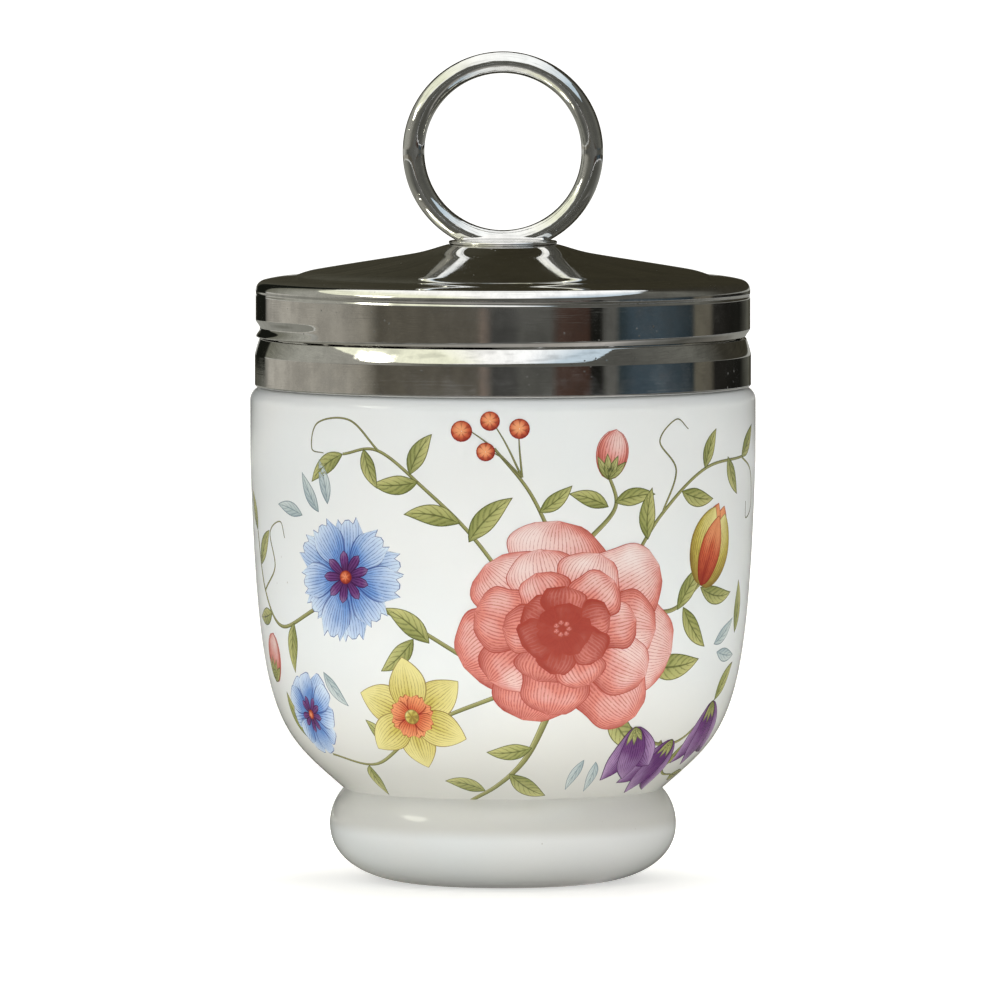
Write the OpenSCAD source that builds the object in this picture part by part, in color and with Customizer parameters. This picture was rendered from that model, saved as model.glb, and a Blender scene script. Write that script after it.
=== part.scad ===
// Porcelain egg coddler: a glazed cup with a cemented metal screw collar, and a
// pressed metal lid with a lifting ring. Millimetres, +Z up, and the origin is at
// the middle of the foot, on the surface that the cup stands on.

/* [Cup] */
// Largest diameter of the cup
cup_d = 60; // [56:1:70]
// Height of the shoulder that the collar stands on
shoulder_h = 58.8; // [52:0.2:70]
// Radius of the rounded shoulder
shoulder_round = 1.6; // [1:0.2:2.4]
// Height at which the bowl reaches its full width
belly_h = 50; // [44:0.5:50.5]
// Diameter of the waist between the bowl and the foot
waist_d = 37.8; // [32:0.2:40]
// Height of the waist
waist_h = 11; // [9:0.5:14]
// Largest diameter of the foot
foot_d = 41.2; // [36:0.2:46]
// Height of the widest line of the foot
foot_bulge_h = 6.7; // [5:0.1:7.5]
// Outer diameter of the ring that the foot rests on
rest_d = 24.8; // [20:0.2:28]
// Width of that resting ring
rest_w = 1.6; // [1:0.2:3]
// Depth of the hollow under the foot
recess_h = 3; // [1:0.2:3.4]
// Height of the inside floor
floor_h = 8; // [7:0.2:12]
// Wall of the bowl at its widest
cup_wall = 3; // [2:0.2:4]
// Wall of the neck
neck_wall = 2.5; // [2:0.1:3]
// Height of the neck above the shoulder
neck_h = 12.4; // [11:0.2:16]
// Radius that rounds the rim of the mouth
rim_round = 1; // [0.4:0.1:1.2]

/* [Collar] */
// How far the collar's band stands inside the cup's largest radius
band_inset = 0.55; // [0.2:0.05:1]
// Height of the band, with its bright lower edge
band_h = 3.7; // [3:0.1:5]
// Height of the slanted shoulder above the band
bevel_h = 2; // [1.5:0.1:2.2]
// How far that shoulder leans in
bevel_lean = 0.5; // [0.3:0.05:0.8]
// Sheet of the collar
collar_sheet = 0.55; // [0.4:0.05:0.6]
// Bevel along the collar's lower edge
collar_edge = 0.25; // [0.1:0.05:0.3]
// How far the collar's top edge stays below the rim
collar_drop = 1.2; // [0.8:0.1:2]
// Thickness of the cement between the neck and the collar
cement = 0.55; // [0.3:0.05:1]

/* [Thread] */
// Rise of the lid in one turn
lead = 2; // [1.8:0.1:2.6]
// Height of the collar's ridge
collar_ridge_h = 0.75; // [0.6:0.05:0.8]
// Height of the lid's ridge, and depth of the groove behind it
lid_ridge_h = 0.5; // [0.4:0.05:0.6]
// Width of the lid's ridge at its root
lid_ridge_w = 1.8; // [1.5:0.1:1.8]
// Width of the lid's ridge at its crest
lid_crest_w = 0.6; // [0.4:0.1:0.7]
// Width of the collar's ridge at its root
collar_ridge_w = 1; // [0.8:0.1:1.1]
// Width of the collar's ridge at its crest
collar_crest_w = 0.4; // [0.3:0.1:0.5]
// Width of the bottom of the groove outside the lid
groove_floor_w = 0.4; // [0.3:0.1:0.5]
// Clearance between a crest and the wall that faces it
crest_gap = 0.2; // [0.15:0.05:0.3]

/* [Lid] */
// How far the lid's skirt stands inside the collar's band
skirt_inset = 0.1; // [0:0.05:0.4]
// Sheet of the lid
lid_sheet = 0.6; // [0.4:0.05:0.7]
// Outside radius of the rolled edge between the top and the skirt
edge_r = 1.15; // [0.9:0.05:1.6]
// Height of the top where that edge starts, above the rim of the cup
edge_rise = 0.15; // [0.1:0.05:0.4]
// Slope of the top there, in degrees
edge_slope = 13; // [11:0.5:15]
// Height of the top from there up to the foot of its flare
top_h = 3.1; // [2.8:0.1:4]
// Slope of the top at the foot of its flare, in degrees
flare_slope = 10; // [8:0.5:12]
// Diameter of the foot of the flare
flare_d = 21.8; // [20:0.2:26]
// Height of the flare, up to the flat boss
boss_h = 1.2; // [0.8:0.05:1.6]
// Diameter of the boss
boss_d = 12.4; // [11:0.1:14]
// Gap between the skirt and the top of the collar's shoulder
skirt_gap = 0.2; // [0.1:0.05:0.6]

/* [Lifting ring] */
// Outer diameter of the lifting ring
ring_d = 23.8; // [20:0.2:24.8]
// Diameter of its wire
wire_d = 2.6; // [2:0.1:3]
// Depth of the ring in its seat
ring_sink = 1.35; // [1:0.05:1.35]
// Diameter of the seat's flange
flange_d = 12.9; // [12.4:0.1:15]
// Thickness of the flange
flange_h = 0.4; // [0.35:0.05:0.8]
// Diameter of the stem that passes through the lid
stem_d = 9.6; // [9.4:0.1:10]
// Diameter of the hammered lip that holds the stem
peen_d = 10.6; // [10.4:0.1:11]
// Thickness of that lip
peen_h = 0.35; // [0.2:0.05:0.5]
// Diameter of the washer under the lid
washer_d = 12; // [11.6:0.1:12.2]
// Thickness of the washer
washer_h = 0.8; // [0.6:0.05:1]
// Clearance around the stem
stem_gap = 0.05; // [0.02:0.01:0.1]

/* [Hidden] */
$fn = 96;

// Colours, as the eye reads them
porcelain_white = [0.95, 0.95, 0.93];
chrome_grey = [0.62, 0.62, 0.62];
cement_grey = [0.80, 0.78, 0.72];
brass_yellow = [0.74, 0.66, 0.44];

// Steps along a curve of an outline, and along one turn of a thread
curve_steps = 20;
turn_steps = 48;
// How far one body reaches into another in a cut or a join
overlap = 0.2;

// From the outside in: the cup, the collar's band, the lid's skirt, the room for
// the thread, the collar's neck, the cement, and the neck and mouth of the cup
cup_r = cup_d / 2;
band_r = cup_r - band_inset;
skirt_r = band_r - skirt_inset;
skirt_in_r = skirt_r - lid_sheet;
collar_r = skirt_in_r - collar_ridge_h - crest_gap;
collar_in_r = collar_r - collar_sheet;
neck_r = collar_in_r - cement;
mouth_r = neck_r - neck_wall;
waist_r = waist_d / 2;
foot_r = foot_d / 2;
rest_r = rest_d / 2;

// From the shoulder up: the band, its slanted top, the skirt of the lid, and the rim
bevel_z = shoulder_h + band_h;
collar_neck_z = bevel_z + bevel_h;
skirt_z = collar_neck_z + skirt_gap;
rim_z = shoulder_h + neck_h;
collar_top_z = rim_z - collar_drop;

// Inward along the top: its rolled edge, the foot of its flare, and the boss
edge_mid_r = skirt_r - edge_r;
edge_mid_z = rim_z + edge_rise - edge_r * cos(edge_slope);
flare_r = flare_d / 2;
flare_z = rim_z + edge_rise + top_h;
boss_r = boss_d / 2;
boss_z = flare_z + boss_h;

// The seat lies on the boss, and the ring is let into the seat
flange_z = boss_z + flange_h;
ring_r = ring_d / 2;
wire_r = wire_d / 2;
ring_z = flange_z - ring_sink + ring_r;
washer_z = boss_z - lid_sheet - washer_h;
peen_z = washer_z - peen_h;

// The lid's ridge starts at the lower edge of its skirt and ends on the left of the
// front, and the collar's ridge runs half a lead above it and a little further
ridge_start = -150;
ridge_end = 224;
ridge_run = 25;
collar_extra = 90;
// How far the lid's ridge starts below the edge of the skirt, in leads
ridge_below = 0.42;
lid_ridge_z = skirt_z - ridge_below * lead;
collar_ridge_z = lid_ridge_z + lead / 2;

// Points of a circular arc
function arc(mid, radius, from, to, steps) =
    [for (i = [0 : steps]) let (a = from + (to - from) * i / steps)
        mid + radius * [cos(a), sin(a)]];

// Points of a cubic curve that leaves a towards b and reaches d from c
function curve(a, b, c, d) =
    [for (i = [0 : curve_steps]) let (t = i / curve_steps, s = 1 - t)
        s * s * s * a + 3 * s * s * t * b + 3 * s * t * t * c + t * t * t * d];

// The outline from the resting ring up to the shoulder
function cup_outside() = concat(
    curve([rest_r, 0], [rest_r + 0.58 * (foot_r - rest_r), 0.09 * foot_bulge_h],
          [foot_r, 0.45 * foot_bulge_h], [foot_r, foot_bulge_h]),
    curve([foot_r, foot_bulge_h], [foot_r, foot_bulge_h + 0.5 * (waist_h - foot_bulge_h)],
          [waist_r + 0.35 * (foot_r - waist_r), waist_h - 0.14 * (waist_h - foot_bulge_h)],
          [waist_r, waist_h]),
    curve([waist_r, waist_h],
          [waist_r + 0.72 * (cup_r - waist_r), waist_h + 0.18 * (belly_h - waist_h)],
          [waist_r + 0.91 * (cup_r - waist_r), waist_h + 0.197 * (belly_h - waist_h)],
          [cup_r, belly_h]),
    arc([cup_r - shoulder_round, shoulder_h - shoulder_round], shoulder_round, 0, 90, 10));

// The outline from the mouth down to the middle of the floor
function cup_inside() = concat(
    curve([mouth_r, shoulder_h + 0.9 * neck_wall], [mouth_r, shoulder_h - 0.8 * neck_wall],
          [cup_r - cup_wall, shoulder_h - cup_wall], [cup_r - cup_wall, belly_h]),
    curve([cup_r - cup_wall, belly_h],
          [cup_r - 1.13 * cup_wall, floor_h + 0.24 * (belly_h - floor_h)],
          [waist_r - 0.4 * cup_wall, floor_h + 0.015 * (belly_h - floor_h)],
          [0.43 * waist_r, floor_h]));

// The collar's sheet, from its lower edge to its top, at a depth under its outside
function collar_face(depth) = concat(
    curve([band_r - depth, bevel_z - 0.3 * depth],
          [band_r - depth, bevel_z + 0.12 * bevel_h - 0.3 * depth],
          [band_r - 0.46 * bevel_lean - depth, bevel_z + 0.55 * bevel_h - 0.3 * depth],
          [band_r - bevel_lean - depth, bevel_z + 0.92 * bevel_h - 0.5 * depth]),
    [[band_r - 1.5 * bevel_lean - depth, collar_neck_z - depth],
     [collar_r - depth, collar_neck_z - depth]]);

// The lid's sheet, from the boss to the skirt, at a depth under its outside
function lid_face(depth) =
    let (foot = [flare_r - depth * sin(flare_slope), flare_z - depth * cos(flare_slope)],
         edge = [edge_mid_r, edge_mid_z] + (edge_r - depth) * [sin(edge_slope), cos(edge_slope)],
         near = 0.49 * (flare_r - boss_r),
         far = 0.31 * (edge[0] - flare_r))
    concat(
        curve([boss_r, boss_z - depth],
              [boss_r + 0.24 * (flare_r - boss_r), boss_z - 0.12 * boss_h - depth],
              foot + near * [-1, tan(flare_slope)], foot),
        curve(foot, foot + far * [1, -tan(flare_slope)],
              edge + far * [-1, tan(edge_slope)], edge),
        arc([edge_mid_r, edge_mid_z], edge_r - depth, 90 - edge_slope, 0, 12));

// One section of a thread ridge: its root is on the radius root, its crest at the
// signed height. Both ends of the ridge run out into the wall.
function ridge_section(root, height, root_w, crest_w, angle, z, part) =
    let (side = sign(height),
         share = overlap / abs(height),
         buried_w = root_w + (root_w - crest_w) * share,
         crest = root + height * part - side * 0.25 * overlap * (1 - part),
         flat = [[root - side * overlap, z - buried_w / 2], [crest, z - crest_w / 2],
                 [crest, z + crest_w / 2], [root - side * overlap, z + buried_w / 2]],
         turned = side > 0 ? flat : [flat[3], flat[2], flat[1], flat[0]])
    [for (p = turned) [p[0] * cos(angle), p[0] * sin(angle), p[1]]];

module thread_ridge(root, height, root_w, crest_w, from, to, from_z) {
    steps = ceil((to - from) / 360 * turn_steps);
    points = [for (i = [0 : steps]) let (turn = (to - from) * i / steps)
        each ridge_section(root, height, root_w, crest_w, from + turn,
                           from_z + lead * turn / 360,
                           min(1, turn / ridge_run, (to - from - turn) / ridge_run))];
    sides = [for (i = [0 : steps - 1], j = [0 : 3]) let (k = (j + 1) % 4)
        each [[4 * i + j, 4 * i + k, 4 * i + 4 + k], [4 * i + j, 4 * i + 4 + k, 4 * i + 4 + j]]];
    ends = [[3, 2, 1], [3, 1, 0],
            [4 * steps, 4 * steps + 1, 4 * steps + 2], [4 * steps, 4 * steps + 2, 4 * steps + 3]];
    polyhedron(points = points, faces = concat(sides, ends), convexity = 8);
}

// The glazed casting, with the hollow under its foot and the neck inside the collar
module porcelain_cup() {
    recess_r = rest_r - rest_w;
    color(porcelain_white) rotate_extrude() polygon(concat(
        [[0, recess_h], [recess_r - 0.6 * recess_h, recess_h]],
        [[recess_r, 0.2 * recess_h], [recess_r, 0]],
        cup_outside(),
        [[neck_r, shoulder_h]],
        arc([neck_r - rim_round, rim_z - rim_round], rim_round, 0, 90, 8),
        arc([mouth_r + rim_round, rim_z - rim_round], rim_round, 90, 180, 8),
        cup_inside(),
        [[0, floor_h]]));
}

// The pressed collar: band, slanted shoulder and threaded neck
module screw_collar() {
    color(chrome_grey) {
        rotate_extrude() polygon(concat(
            [[band_r - collar_sheet, shoulder_h], [band_r - collar_edge, shoulder_h],
             [band_r, shoulder_h + collar_edge]],
            collar_face(0),
            [[collar_r, collar_top_z - collar_edge], [collar_r - collar_edge, collar_top_z],
             [collar_in_r, collar_top_z]],
            [for (i = [len(collar_face(collar_sheet)) - 1 : -1 : 0])
                collar_face(collar_sheet)[i]]));
        thread_ridge(collar_r, collar_ridge_h, collar_ridge_w, collar_crest_w,
                     ridge_start, ridge_end + collar_extra, collar_ridge_z);
    }
}

// The cement that fills the space between the neck and the collar
module collar_cement() {
    color(cement_grey) rotate_extrude() polygon(concat(
        [[neck_r, shoulder_h], [band_r - collar_sheet, shoulder_h]],
        collar_face(collar_sheet),
        [[collar_in_r, collar_top_z - collar_sheet], [neck_r, collar_top_z - collar_sheet]]));
}

// The pressed lid. Its thread is rolled in from outside, so that a groove shows on
// the skirt and a ridge stands out inside it.
module lid_shell() {
    hole_r = stem_d / 2 + stem_gap;
    color(chrome_grey) difference() {
        union() {
            rotate_extrude() polygon(concat(
                [[hole_r, boss_z - lid_sheet], [hole_r, boss_z]],
                lid_face(0),
                [[skirt_r, skirt_z + 0.25 * lid_sheet], [skirt_r - 0.25 * lid_sheet, skirt_z],
                 [skirt_in_r, skirt_z]],
                [for (i = [len(lid_face(lid_sheet)) - 1 : -1 : 0]) lid_face(lid_sheet)[i]]));
            intersection() {
                thread_ridge(skirt_in_r, -lid_ridge_h, lid_ridge_w, lid_crest_w,
                             ridge_start, ridge_end, lid_ridge_z);
                translate([0, 0, skirt_z]) cylinder(r = skirt_r, h = 3 * lead + lid_ridge_w);
            }
        }
        thread_ridge(skirt_r, -lid_ridge_h, lid_ridge_w, groove_floor_w,
                     ridge_start, ridge_end, lid_ridge_z);
    }
}

// The bent wire ring, which stands upright and faces the front
module lifting_ring() {
    color(chrome_grey) translate([0, 0, ring_z]) rotate([90, 0, 0])
        rotate_extrude() translate([ring_r - wire_r, 0]) circle(r = wire_r);
}

// The stepped disc with its stem through the lid and a saddle for the ring
module ring_seat() {
    flange_r = flange_d / 2;
    stem_r = stem_d / 2;
    flange_edge = 0.3 * flange_h;
    color(chrome_grey) difference() {
        rotate_extrude() polygon([
            [0, peen_z], [peen_d / 2 - peen_h / 2, peen_z], [peen_d / 2, peen_z + peen_h / 2],
            [peen_d / 2, washer_z], [stem_r, washer_z], [stem_r, boss_z],
            [flange_r - flange_edge, boss_z], [flange_r, boss_z + flange_edge],
            [flange_r, flange_z - flange_edge], [flange_r - flange_edge, flange_z],
            [0, flange_z]]);
        lifting_ring();
    }
}

// The backing washer under the lid
module tang_washer() {
    color(brass_yellow) translate([0, 0, washer_z]) difference() {
        cylinder(d = washer_d, h = washer_h);
        translate([0, 0, -overlap]) cylinder(r = stem_d / 2 + stem_gap, h = washer_h + 2 * overlap);
    }
}

porcelain_cup();
screw_collar();
collar_cement();
lid_shell();
lifting_ring();
ring_seat();
tang_washer();
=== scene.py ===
"""The looks of a porcelain egg coddler: glazed cup with a printed posy, worn chromed
collar and lid, and a lifting ring. Metres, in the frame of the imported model."""

from math import copysign, cos, degrees, pi, radians, sin, tan, tau
import random

import bpy
import numpy as np
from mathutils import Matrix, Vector


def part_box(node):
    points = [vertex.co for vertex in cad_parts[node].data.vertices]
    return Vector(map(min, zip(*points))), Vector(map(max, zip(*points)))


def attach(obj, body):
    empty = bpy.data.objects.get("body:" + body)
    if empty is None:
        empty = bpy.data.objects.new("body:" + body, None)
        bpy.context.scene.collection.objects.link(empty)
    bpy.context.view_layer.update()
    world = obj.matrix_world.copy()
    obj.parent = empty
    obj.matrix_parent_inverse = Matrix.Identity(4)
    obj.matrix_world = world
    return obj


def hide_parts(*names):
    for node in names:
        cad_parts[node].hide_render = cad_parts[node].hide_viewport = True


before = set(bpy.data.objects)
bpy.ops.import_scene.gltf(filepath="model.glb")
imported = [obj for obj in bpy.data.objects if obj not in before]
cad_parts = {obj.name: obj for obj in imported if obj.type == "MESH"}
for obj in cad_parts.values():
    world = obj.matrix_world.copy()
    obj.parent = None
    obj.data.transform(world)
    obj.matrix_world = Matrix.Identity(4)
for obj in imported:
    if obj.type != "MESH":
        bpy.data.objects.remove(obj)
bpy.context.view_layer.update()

MM = 0.001
FRONT = -pi / 2
# How close to the end of a straight stretch a point keeps its shading flat
HELD = 0.05


# ---- sizes, in mm
def box_mm(node):
    low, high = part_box(node)
    return [v / MM for v in low], [v / MM for v in high]


_, CUP_HIGH = box_mm("porcelain_cup")
COLLAR_LOW, COLLAR_HIGH = box_mm("screw_collar")
LID_LOW, LID_HIGH = box_mm("lid_shell")
RING_LOW, RING_HIGH = box_mm("lifting_ring")
SEAT_LOW, SEAT_HIGH = box_mm("ring_seat")
WASHER_LOW, WASHER_HIGH = box_mm("tang_washer")
_, CEMENT_HIGH = box_mm("collar_cement")

CUP_R = CUP_HIGH[0]
RIM_Z = CUP_HIGH[2]
SHOULDER_Z = COLLAR_LOW[2]
SHOULDER_ROUND = 1.6
BELLY_Z = 50
WAIST_R, WAIST_Z = 18.9, 11
FOOT_R, FOOT_BULGE_Z = 20.6, 6.7
REST_R, REST_W = 12.4, 1.6
RECESS_H = 3
FLOOR_Z = 8
CUP_WALL, NECK_WALL = 3, 2.5
RIM_ROUND = 1

BAND_R = COLLAR_HIGH[0]
BAND_H, BEVEL_H, BEVEL_LEAN = 3.7, 2, 0.5
BEVEL_Z = SHOULDER_Z + BAND_H
COLLAR_NECK_Z = BEVEL_Z + BEVEL_H
COLLAR_TOP_Z = COLLAR_HIGH[2]
COLLAR_SHEET = 0.55
COLLAR_EDGE = 0.25
CEMENT = 0.55

SKIRT_R = LID_HIGH[0]
SKIRT_Z = LID_LOW[2]
LID_SHEET = 0.6
COLLAR_RIDGE_H, LID_RIDGE_H, CREST_GAP = 0.75, 0.5, 0.2
COLLAR_RIDGE_W, LID_RIDGE_W = 1.1, 2.1
LEAD = 2
COLLAR_R = SKIRT_R - LID_SHEET - COLLAR_RIDGE_H - CREST_GAP
NECK_R = COLLAR_R - COLLAR_SHEET - CEMENT
MOUTH_R = NECK_R - NECK_WALL
RIDGE_START, RIDGE_TURN, RIDGE_RUN = -150, 374, 25
COLLAR_EXTRA = 90
RIDGE_BELOW = 0.42

BOSS_H, BOSS_R = 1.2, 6.2
BOSS_Z = LID_HIGH[2]
FLARE_R, FLARE_Z = 10.9, BOSS_Z - BOSS_H
FLARE_SLOPE, EDGE_SLOPE = radians(10), radians(13)
TOP_H, EDGE_R = 3.1, 1.15
EDGE_MID_R = SKIRT_R - EDGE_R
EDGE_MID_Z = FLARE_Z - TOP_H - EDGE_R * cos(EDGE_SLOPE)
# A shallow step pressed into the top: where it starts, is deepest and has run out
STEP_FROM, STEP_AT, STEP_TO, STEP_H = 22.5, 24.6, 28.2, 0.25

RING_R = RING_HIGH[0]
WIRE_R = RING_HIGH[1]
RING_Z = (RING_LOW[2] + RING_HIGH[2]) / 2
FLANGE_R = SEAT_HIGH[0]
FLANGE_Z = SEAT_HIGH[2]
STEM_R, PEEN_R, PEEN_H = 4.8, 5.3, 0.35
STEM_GAP = 0.05
WASHER_R = WASHER_HIGH[0]


# ---- outlines
def arc(mid, radius, start, end, steps):
    """Points of a circular arc, with its angles in degrees."""
    angles = [radians(start + (end - start) * i / steps) for i in range(steps + 1)]
    return [(mid[0] + radius * cos(a), mid[1] + radius * sin(a)) for a in angles]


def swell(off):
    """A rounded rise from 0 at -1, over 1 at 0, and down to 0 at 1."""
    return 0.5 + 0.5 * cos(pi * off)


def curve(a, b, c, d, steps=40):
    """Points of a cubic curve from a towards b, and from c to d."""
    points = []
    for i in range(steps + 1):
        t = i / steps
        s = 1 - t
        weights = (s ** 3, 3 * s * s * t, 3 * s * t * t, t ** 3)
        points.append(tuple(sum(w * p[k] for w, p in zip(weights, (a, b, c, d))) for k in (0, 1)))
    return points


def cup_outside():
    """From the resting ring up to the shoulder."""
    foot_w = FOOT_R - REST_R
    flare = FOOT_R - WAIST_R
    top = WAIST_Z - FOOT_BULGE_Z
    out = CUP_R - WAIST_R
    high = BELLY_Z - WAIST_Z
    return (
        curve((REST_R, 0), (REST_R + 0.58 * foot_w, 0.09 * FOOT_BULGE_Z),
              (FOOT_R, 0.45 * FOOT_BULGE_Z), (FOOT_R, FOOT_BULGE_Z))
        + curve((FOOT_R, FOOT_BULGE_Z), (FOOT_R, FOOT_BULGE_Z + 0.5 * top),
                (WAIST_R + 0.35 * flare, WAIST_Z - 0.14 * top), (WAIST_R, WAIST_Z), 24)[1:]
        + curve((WAIST_R, WAIST_Z), (WAIST_R + 0.72 * out, WAIST_Z + 0.18 * high),
                (WAIST_R + 0.91 * out, WAIST_Z + 0.197 * high), (CUP_R, BELLY_Z), 120)[1:]
        + [(CUP_R, SHOULDER_Z - SHOULDER_ROUND - HELD)]
        + arc((CUP_R - SHOULDER_ROUND, SHOULDER_Z - SHOULDER_ROUND), SHOULDER_ROUND, 0, 90, 16)
    )


def cup_inside():
    """From the mouth down to the middle of the floor."""
    inner_r = CUP_R - CUP_WALL
    return (
        curve((MOUTH_R, SHOULDER_Z + 0.9 * NECK_WALL), (MOUTH_R, SHOULDER_Z - 0.8 * NECK_WALL),
              (inner_r, SHOULDER_Z - CUP_WALL), (inner_r, BELLY_Z))
        + curve((inner_r, BELLY_Z), (CUP_R - 1.13 * CUP_WALL, FLOOR_Z + 0.24 * (BELLY_Z - FLOOR_Z)),
                (WAIST_R - 0.4 * CUP_WALL, FLOOR_Z + 0.015 * (BELLY_Z - FLOOR_Z)),
                (0.43 * WAIST_R, FLOOR_Z), 60)[1:]
    )


def collar_face(depth):
    """The collar's sheet from its band to its neck, at a depth under its outside."""
    r, low_z = BAND_R - depth, BEVEL_Z - 0.3 * depth
    top = (r - BEVEL_LEAN, BEVEL_Z + 0.92 * BEVEL_H - 0.5 * depth)
    flat_z = COLLAR_NECK_Z - depth
    return (
        curve((r, low_z), (r, low_z + 0.12 * BEVEL_H), (r - 0.46 * BEVEL_LEAN, low_z + 0.55 * BEVEL_H),
              top, 24)
        + curve(top, (top[0] - 0.1 * BEVEL_LEAN, top[1] + 0.07 * BEVEL_H), (r - 1.1 * BEVEL_LEAN, flat_z),
                (r - 1.5 * BEVEL_LEAN, flat_z), 8)[1:]
        + [(COLLAR_R - depth, flat_z)]
    )


def lid_step(r):
    """The share of the pressed step's depth that the top lies lower at a radius."""
    if r <= STEP_FROM or r >= STEP_TO:
        return 0
    if r < STEP_AT:
        return ((r - STEP_FROM) / (STEP_AT - STEP_FROM)) ** 2
    return swell((r - STEP_AT) / (STEP_TO - STEP_AT))


def lid_face(depth):
    """The lid's sheet from its boss to the top of its skirt, at a depth under its outside."""
    flare_w = FLARE_R - BOSS_R
    foot = (FLARE_R - depth * sin(FLARE_SLOPE), FLARE_Z - depth * cos(FLARE_SLOPE))
    edge = (EDGE_MID_R + (EDGE_R - depth) * sin(EDGE_SLOPE),
            EDGE_MID_Z + (EDGE_R - depth) * cos(EDGE_SLOPE))
    near, far = 0.49 * flare_w, 0.31 * (edge[0] - FLARE_R)
    top = curve(foot, (foot[0] + far, foot[1] - far * tan(FLARE_SLOPE)),
                (edge[0] - far, edge[1] + far * tan(EDGE_SLOPE)), edge, 96)
    return (
        curve((BOSS_R, BOSS_Z - depth), (BOSS_R + 0.24 * flare_w, BOSS_Z - 0.12 * BOSS_H - depth),
              (foot[0] - near, foot[1] + near * tan(FLARE_SLOPE)), foot, 24)
        + [(r, z - STEP_H * lid_step(r)) for r, z in top[1:]]
        + arc((EDGE_MID_R, EDGE_MID_Z), EDGE_R - depth, 90 - degrees(EDGE_SLOPE), 0, 24)[1:]
    )


# ---- meshes
def add_object(name, data):
    piece = bpy.data.objects.new(name, data)
    bpy.context.scene.collection.objects.link(piece)
    return piece


def make_object(name, verts, faces, sharp_angle):
    mesh = bpy.data.meshes.new(name)
    mesh.from_pydata([(x * MM, y * MM, z * MM) for x, y, z in verts], [], faces)
    mesh.validate()
    mesh.shade_smooth()
    mesh.set_sharp_from_angle(angle=radians(sharp_angle))
    return add_object(name, mesh)


def lathe(name, outline, turns, dent=None, sharp_angle=40):
    """Turns a closed outline about Z. dent(angle, r, z) moves a point's radius."""
    verts, rows = [], []
    for r, z in outline:
        if r < 1e-6:
            rows.append([len(verts)] * turns)
            verts.append((0, 0, z))
            continue
        rows.append(list(range(len(verts), len(verts) + turns)))
        for i in range(turns):
            a = tau * i / turns
            rr = r + (dent(a, r, z) if dent else 0)
            verts.append((rr * cos(a), rr * sin(a), z))
    faces = []
    for j in range(len(rows)):
        low, high = rows[j], rows[(j + 1) % len(rows)]
        for i in range(turns):
            k = (i + 1) % turns
            face = []
            for v in (low[i], low[k], high[k], high[i]):
                if v not in face:
                    face.append(v)
            if len(face) > 2:
                faces.append(face)
    return make_object(name, verts, faces, sharp_angle)


def ridge_dent(angle, z, start_z, turn, width, height):
    """How far a rolled thread pushes the wall, at an angle and height."""
    total = 0
    along = (degrees(angle) - RIDGE_START) % 360
    while along < turn:
        run = min(1, along / RIDGE_RUN, (turn - along) / RIDGE_RUN)
        fade = run * run * (3 - 2 * run)
        off = (z - start_z - LEAD * along / 360) / (width / 2)
        if abs(off) < 1:
            total += height * fade * swell(off)
        along += 360
    return total


LID_RIDGE_Z = SKIRT_Z - RIDGE_BELOW * LEAD
COLLAR_RIDGE_Z = LID_RIDGE_Z + LEAD / 2
# A faint crease that the press left under the lid's rolled edge
CREASE_Z, CREASE_HALF, CREASE_DEPTH = EDGE_MID_Z - 0.5, 0.32, 0.08


def crease(angle, z):
    off = (z - CREASE_Z + 0.15 * cos(angle)) / CREASE_HALF
    if abs(off) >= 1:
        return 0
    return CREASE_DEPTH * swell(off) * (0.65 + 0.35 * sin(3 * angle + 1.1))


def steps_between(low, high, count):
    return [low + (high - low) * i / count for i in range(1, count)]


def make_cup():
    recess_r, recess_round, edge = REST_R - REST_W, 1.8, 0.12
    outline = (
        [(0, RECESS_H)]
        + arc((recess_r - recess_round, RECESS_H - recess_round), recess_round, 90, 0, 12)
        + [(recess_r, edge), (recess_r + edge, 0), (REST_R - 0.1, 0)]
        + cup_outside() + [(NECK_R, SHOULDER_Z)]
        + arc((NECK_R - RIM_ROUND, RIM_Z - RIM_ROUND), RIM_ROUND, 0, 90, 12)
        + arc((MOUTH_R + RIM_ROUND, RIM_Z - RIM_ROUND), RIM_ROUND, 90, 180, 12)
        + cup_inside() + [(0, FLOOR_Z)]
    )
    return lathe("cup_glaze", outline, turns=360, sharp_angle=50)


def make_collar():
    neck_z = COLLAR_NECK_Z + 0.1
    outer = [(COLLAR_R, z) for z in steps_between(neck_z, COLLAR_TOP_Z - COLLAR_EDGE, 44)]
    inner = list(reversed(collar_face(COLLAR_SHEET)))
    outline = (
        [(BAND_R - COLLAR_SHEET, SHOULDER_Z)]
        + arc((BAND_R - COLLAR_EDGE, SHOULDER_Z + COLLAR_EDGE), COLLAR_EDGE, -90, 0, 8)
        + [(BAND_R, SHOULDER_Z + COLLAR_EDGE + HELD), (BAND_R, BEVEL_Z - HELD)]
        + collar_face(0) + outer
        + [(COLLAR_R, COLLAR_TOP_Z - COLLAR_EDGE), (COLLAR_R - COLLAR_EDGE, COLLAR_TOP_Z),
           (COLLAR_R - COLLAR_SHEET, COLLAR_TOP_Z)]
        + inner
    )

    def dent(angle, r, z):
        if abs(r - COLLAR_R) > 1e-6 or z < neck_z:
            return 0
        return ridge_dent(angle, z, COLLAR_RIDGE_Z, RIDGE_TURN + COLLAR_EXTRA, COLLAR_RIDGE_W,
                          COLLAR_RIDGE_H)

    return lathe("collar_metal", outline, turns=288, dent=dent)


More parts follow.
